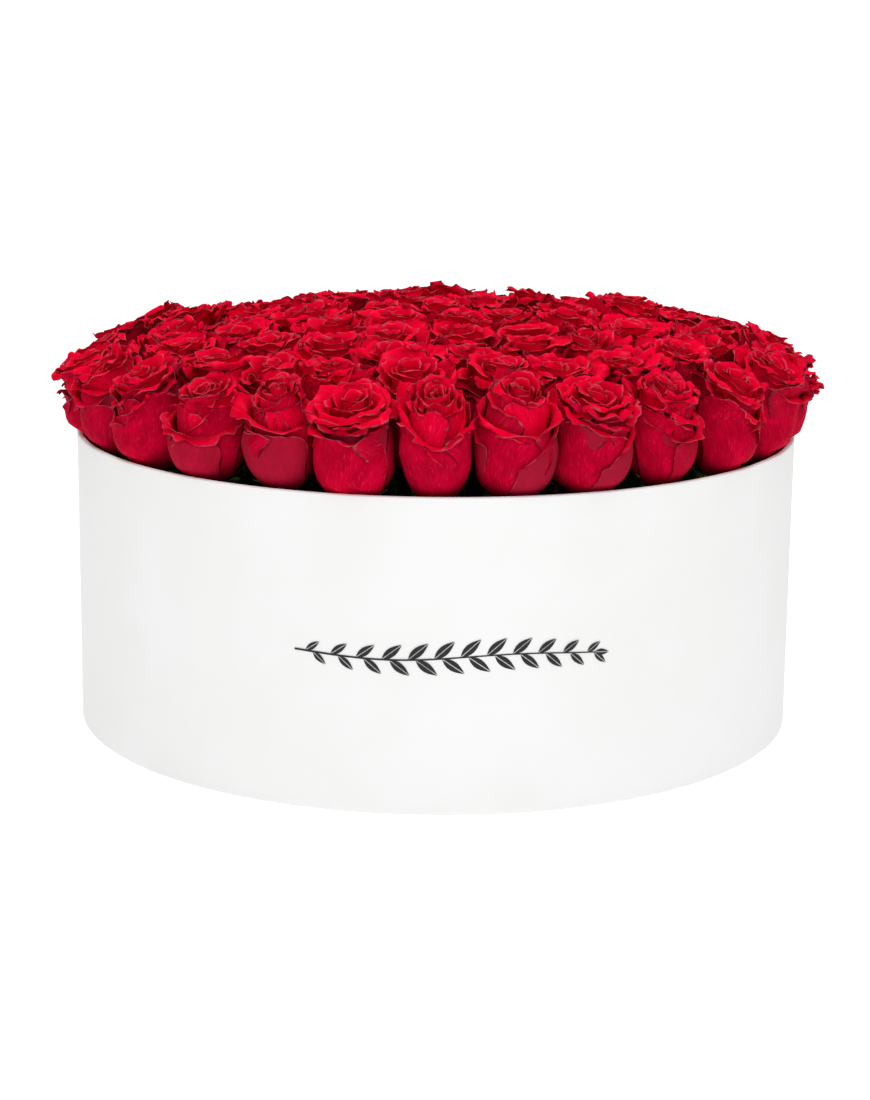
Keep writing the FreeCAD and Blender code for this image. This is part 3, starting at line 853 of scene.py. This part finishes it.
def make_roses():
    """Every rose as a piece of its own, each from its own seed."""
    materials = [petal_back_look(), petal_face_look(), green_look()]
    spots = rose_places()
    seeded = [np.random.default_rng(FIRST_SEED + i) for i in range(len(spots))]
    styles = [rose_style(rng, spot) for rng, spot in zip(seeded, spots)]
    near = neighbours(spots, styles)
    for i, spot in enumerate(spots):
        made = rose(f"rose_{i + 1:02d}", spot, near[i], styles[i], seeded[i], materials)
        ring = spot["ring"] + 1
        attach(made, BODY_OF_ROSES)
        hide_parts(f"rose_heads_ring_{ring}", f"rose_calyxes_ring_{ring}",
                    f"rose_stems_ring_{ring}")


# ------------------------------ paper, board, tray and foam

def paper_look(name, light, shade, roughness):
    """Matte paper with a faint tooth and cloudy tone."""
    look = Look(name, roughness, Specular_IOR_Level=0.3)
    place = look.place()
    cloud = look.noise(place, 14.0, 3.0, 0.5)
    tooth = look.noise(place, 2600.0, 3.0, 0.6)
    toned = look.mix(look.band(cloud, 0.3, 0.7), srgb(*shade), srgb(*light))
    look.colour(look.mix(look.band(tooth, 0.35, 0.7, 0.0, 0.12), toned, srgb(*shade)))
    look.bump(tooth, 0.00012, 0.5)
    return look.material


def board_look(name, light, shade, fleck, fibre):
    """Solid or corrugated board: fibres one way, and darker flecks."""
    look = Look(name, 0.8, Specular_IOR_Level=0.25)
    place = look.place()
    x, y, z = look.split(place)
    stretched = look.join(x, y, look.times(z, fibre))
    fibres = look.noise(stretched, 700.0, 4.0, 0.65)
    flecks = look.noise(place, 1500.0, 2.0, 0.5)
    toned = look.mix(look.band(fibres, 0.3, 0.7), srgb(*shade), srgb(*light))
    look.colour(look.mix(look.band(flecks, 0.66, 0.74, 0.0, 0.7), toned, srgb(*fleck)))
    look.bump(fibres, 0.0002, 0.6)
    return look.material


def plastic_look():
    """Thin black formed sheet, satin, with faint draw lines down its wall."""
    look = Look("black_plastic", 0.38, Specular_IOR_Level=0.3)
    place = look.place()
    x, y, z = look.split(place)
    drawn = look.noise(look.join(x, y, look.times(z, 0.08)), 160.0, 3.0, 0.6)
    haze = look.noise(place, 30.0, 3.0, 0.6)
    look.colour(look.mix(look.band(haze, 0.3, 0.75), srgb(14, 14, 15), srgb(26, 26, 28)))
    look.roughness(look.band(drawn, 0.3, 0.7, 0.32, 0.5))
    look.bump(drawn, 0.0003, 0.5)
    return look.material


def foam_look():
    """Soaked floral foam: dark green, open cells, pitted, with painted shade in the pits."""
    look = Look("floral_foam", 0.85, Specular_IOR_Level=0.35)
    place = look.place()
    cells = look.node("TexVoronoi", {"Vector": place, "Scale": 900.0}).outputs["Distance"]
    cloud = look.noise(place, 45.0, 4.0, 0.6)
    toned = look.mix(look.band(cloud, 0.3, 0.7), srgb(14, 54, 30), srgb(34, 84, 46))
    # Darker in the pits of the cells, where the bump sinks: painted shade.
    look.colour(look.mix(look.band(cells, 0.1, 0.5), srgb(8, 30, 18), toned))
    look.bump(cells, 0.0006, 0.8)
    return look.material


def arc(centre, wide, high, start, end, steps):
    """Points (r, z) along part of an oval, its angles in degrees."""
    angles = np.radians(np.linspace(start, end, steps))
    return [(centre[0] + wide * cos(a), centre[1] + high * sin(a)) for a in angles]


PAPER = 0.45
LAP = radians(5.5)


def wrap_profile():
    """The wrap's section, (r, z): up its outside, over the rim, down inside and back under."""
    low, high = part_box("outer_wrap")
    outside, floor, rim = high.x / MM, low.z / MM, high.z / MM
    tube_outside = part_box("wall_tube")[1].x / MM
    co = cad_points("outer_wrap") / MM
    radius = np.hypot(co[:, 0], co[:, 1])
    inside = radius[co[:, 2] > rim - 0.1].min()
    turn_in_end = co[(radius < inside + 0.1) & (co[:, 2] > rim / 2), 2].min()
    turn_under = radius[co[:, 2] < floor + 1].min()
    corner = 1.2
    half_rim, middle = (outside - inside) / 2, (outside + inside) / 2
    rim_fold = 0.6 * half_rim
    profile = [(turn_under, floor + 0.02)]
    profile += arc((outside - corner, floor + corner + 0.02), corner, corner, -90, 0, 6)
    profile += [(outside, z) for z in np.linspace(floor + 8, rim - 6, 24)]
    profile += arc((middle, rim - rim_fold), half_rim, rim_fold, 0, 180, 13)
    profile += [(inside, z) for z in np.linspace(rim - 6, turn_in_end, 5)]
    profile += [(inside + PAPER, turn_in_end), (inside + PAPER, rim - 1.2),
                (inside + PAPER + 0.15, rim - 0.55), (tube_outside - 0.1, rim - 0.55),
                (outside - PAPER, rim - 1.2), (outside - PAPER, floor + 1.3),
                (outside - PAPER - 0.8, floor + 0.5), (turn_under, floor + 0.47)]
    return np.array(profile), outside, rim


def make_wrap(white):
    """The white wrap: one sheet, soft at rim and base, with slight dents and a lap at the back."""
    profile, outside, rim = wrap_profile()
    lap_start, lap_end = pi - LAP / 2, pi + LAP / 2
    by_edge = np.linspace(-0.003, 0.003, 5)
    turns = np.concatenate([np.linspace(0, tau, 600, endpoint=False), lap_end + by_edge,
                            lap_start + by_edge])
    turns = np.unique(np.round(turns, 6))
    wave = waves(np.random.default_rng(5), 6, 60.0, 240.0)
    around = turns[:, None] * outside
    up = profile[None, :, 1]
    dents = 0.16 * (wave(around, up) * np.cos(turns[:, None] / 2) ** 2
                    + wave(around - tau * outside, up) * np.sin(turns[:, None] / 2) ** 2)
    outside_face = ((profile[:, 0] > outside - 0.2) & (profile[:, 1] > 1.5))[None, :]
    lapped = (smooth_step(turns, lap_start - 0.001, lap_start + 0.001)
              * (1 - smooth_step(turns, lap_end - 0.001, lap_end + 0.001)))
    near_rim = smooth_step(rim - up, 1.0, 20.0)
    moved = (dents - 0.1) * near_rim + PAPER * lapped[:, None]
    r = profile[None, :, 0] + np.where(outside_face, moved, 0.0)
    points = np.stack([r * np.sin(turns)[:, None], -r * np.cos(turns)[:, None],
                       np.broadcast_to(up, r.shape)], -1) * MM
    columns, rows = r.shape
    index = np.arange(columns * rows).reshape(columns, rows)
    after = np.roll(index, -1, axis=0)
    round_profile = np.roll(index, -1, axis=1), np.roll(after, -1, axis=1)
    quads = np.stack([index, after, round_profile[1], round_profile[0]], -1).reshape(-1, 4)
    parts = MeshParts()
    parts.add(points.reshape(-1, 3), quads, np.zeros(len(quads), int))
    made = to_mesh("wrap", parts, [white])
    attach(made, BODY_OF_BOX)
    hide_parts("outer_wrap")


SPRIG_WIDTH, SPRIG_MIDDLE, SPRIG_TURN = 184.0, 92.5, radians(2.6)
LEAF_PAIRS, LEAF_LENGTH, LEAF_WIDTH = 12, 15.0, 5.6
MIDRIB = 0.45
INK_FROM, INK_TO = 0.16, 0.26  # how far the ink's two sides stand off the wrap


def leaf(length, width, heading, root):
    """Two thin half-leaves, as outlines, with a bare midrib between them."""
    t = np.linspace(0, 1, 13)
    bulge = width / 2 * np.sin(pi * t ** 0.85) ** 0.9
    turn = spin(-heading)[:2, :2]
    halves = []
    for side in (1, -1):
        outer = np.stack([t * length, side * np.maximum(bulge, MIDRIB / 2)], -1)
        inner = np.stack([t * length, np.full_like(t, side * MIDRIB / 2)], -1)
        halves.append((inner @ turn + root, outer @ turn + root))
    return halves


def sprig_strips():
    """A long leafy sprig as strips between pairs of lines, flat, about its middle."""
    sway, waviness = 1.6, tau / SPRIG_WIDTH * 1.25

    def stem(x):
        return sway * np.sin(waviness * x)

    def steepness(x):
        return sway * waviness * np.cos(waviness * x)

    reach = SPRIG_WIDTH / 2 - 9
    x = np.linspace(-SPRIG_WIDTH / 2 + 2, reach + 1, 90)
    thick = 0.55 - 0.25 * (x + SPRIG_WIDTH / 2) / SPRIG_WIDTH
    strips = [(np.stack([x, stem(x) - thick], -1), np.stack([x, stem(x) + thick], -1))]
    for k in range(LEAF_PAIRS):
        along = k / (LEAF_PAIRS - 1)
        size = 1 - 0.35 * abs(2 * along - 1) ** 2
        for side in (1, -1):
            at = -reach + 2 + (2 * reach - 4) * along - 2.2 * side
            root = np.array([at, float(stem(at)) + side * 0.3])
            heading = np.arctan(steepness(at)) + side * radians(38)
            strips += leaf(LEAF_LENGTH * size, LEAF_WIDTH * size, heading, root)
    end = np.array([reach + 0.5, float(stem(reach + 0.5))])
    strips += leaf(9.0, 3.6, np.arctan(steepness(reach)), end)
    return strips


def make_sprig():
    """The printed sprig on the front, a film of ink on the wrap."""
    strips = sprig_strips()
    points, quads, count = [], [], 0
    for inner, outer in strips:
        n = len(inner)
        flat = np.stack([inner, outer])
        layers = []
        for level in (INK_FROM, INK_TO):
            turn = flat[..., 0] / WRAP_RADIUS + SPRIG_TURN
            r = WRAP_RADIUS + level
            up = flat[..., 1] + SPRIG_MIDDLE
            layers.append(np.stack([r * np.sin(turn), -r * np.cos(turn), up], -1))
        block = np.concatenate(layers).reshape(-1, 3)
        index = np.arange(4 * n).reshape(2, 2, n) + count
        back, front = index
        a, b = slice(0, n - 1), slice(1, n)
        for one, other in ((front[0], front[1]), (back[1], back[0]), (back[0], front[0]),
                           (front[1], back[1])):
            quads.append(np.stack([one[a], one[b], other[b], other[a]], -1))
        for end, flip in ((0, 1), (n - 1, -1)):
            cap = np.array([[back[0][end], back[1][end], front[1][end], front[0][end]]])
            quads.append(cap[:, ::flip])
        points.append(block)
        count += len(block)
    parts = MeshParts()
    quads = np.vstack(quads)
    parts.add(np.vstack(points) * MM, quads, np.zeros(len(quads), int))
    look = Look("printed_ink", 0.45, Specular_IOR_Level=0.4)
    speck = look.noise(look.place(), 900.0, 2.0, 0.5)
    look.colour(look.mix(look.band(speck, 0.35, 0.75), srgb(10, 10, 11), srgb(24, 23, 24)))
    made = to_mesh("printed_sprig", parts, [look.material])
    made.data.shade_flat()
    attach(made, BODY_OF_BOX)


def finish_cad_nodes():
    """Gives every CAD node that stays its real material, and hands back the wrap's."""
    white = paper_look("white_paper", (240, 240, 240), (237, 237, 236), 0.7)
    looks = {
        "white_paper": white,
        "black_paper": paper_look("black_paper", (16, 16, 17), (10, 10, 11), 0.75),
        "greyboard": board_look("greyboard", (168, 163, 154), (140, 134, 125), (84, 78, 72), 1.0),
        "corrugated_board": board_look("corrugated_board", (196, 158, 116), (170, 130, 90),
                                       (122, 88, 58), 0.1),
        "black_plastic": plastic_look(),
        "floral_foam": foam_look(),
    }
    for part in frame["record"]["subparts"]:
        node, slot = part["node"], part["material_slot"]
        if slot in looks:
            mesh = frame["nodes"][node].data
            mesh.materials.clear()
            mesh.materials.append(looks[slot])
    return white


# ------------------------------ stage, light and camera

CAMERA_AIM = Vector((0.0002, 0.0, 0.1017))
CAMERA_DISTANCE = 1.6983
CAMERA_PITCH, CAMERA_ROLL = radians(13.197), radians(0.6147)
LENS_MM, SENSOR_MM = 86.93, 36.0


def make_stage():
    """A floor so bright that it is seen as plain white."""
    bpy.ops.mesh.primitive_plane_add(size=80.0, location=(0, 0, -0.0005))
    floor = bpy.context.object
    floor.name = "floor"
    look = Look("floor", 0.9, Specular_IOR_Level=0.0, Base_Color=(0.3, 0.3, 0.3, 1),
                Emission_Color=(1, 1, 1, 1), Emission_Strength=0.9)
    floor.data.materials.append(look.material)


def area_light(name, place, aim, size, power):
    data = bpy.data.lights.new(name, "AREA")
    data.shape = "RECTANGLE"
    data.size, data.size_y = size
    data.energy = power
    light = bpy.data.objects.new(name, data)
    light.location = place
    light.rotation_euler = (Vector(aim) - Vector(place)).to_track_quat("-Z", "Y").to_euler()
    bpy.context.scene.collection.objects.link(light)


LIGHT_OF_SURROUND, SEEN_SURROUND = 0.56, 1.05


def make_light():
    """An even white surround, seen brighter than it lights, a soft box in front and one above."""
    world = bpy.data.worlds.new("studio")
    bpy.context.scene.world = world
    world.use_nodes = True
    nodes, links = world.node_tree.nodes, world.node_tree.links
    path = nodes.new("ShaderNodeLightPath")
    strength = nodes.new("ShaderNodeMix")
    strength.inputs["A"].default_value = LIGHT_OF_SURROUND
    strength.inputs["B"].default_value = SEEN_SURROUND
    links.new(path.outputs["Is Camera Ray"], strength.inputs["Factor"])
    links.new(strength.outputs["Result"], nodes["Background"].inputs["Strength"])
    nodes["Background"].inputs["Color"].default_value = (1, 1, 1, 1)
    area_light("key", (0.15, -2.1, 1.5), (0, 0, 0.2), (1.6, 1.2), 14.5)
    area_light("top", (0.0, 0.2, 2.3), (0, 0.05, 0.2), (2.2, 2.0), 34)


def make_camera():
    data = bpy.data.cameras.new("camera")
    data.lens, data.sensor_width = LENS_MM, SENSOR_MM
    data.clip_end = 200.0
    camera = bpy.data.objects.new("camera", data)
    back = Vector((0, -cos(CAMERA_PITCH), sin(CAMERA_PITCH)))
    camera.location = CAMERA_AIM + back * CAMERA_DISTANCE
    camera.rotation_euler = (pi / 2 - CAMERA_PITCH, 0, 0)
    camera.rotation_euler.rotate_axis("Z", CAMERA_ROLL)
    bpy.context.scene.collection.objects.link(camera)
    bpy.context.scene.camera = camera
    bpy.context.scene.view_settings.view_transform = "Standard"


make_stage()
make_light()
make_camera()
white_paper = finish_cad_nodes()
make_wrap(white_paper)
make_sprig()
make_roses()
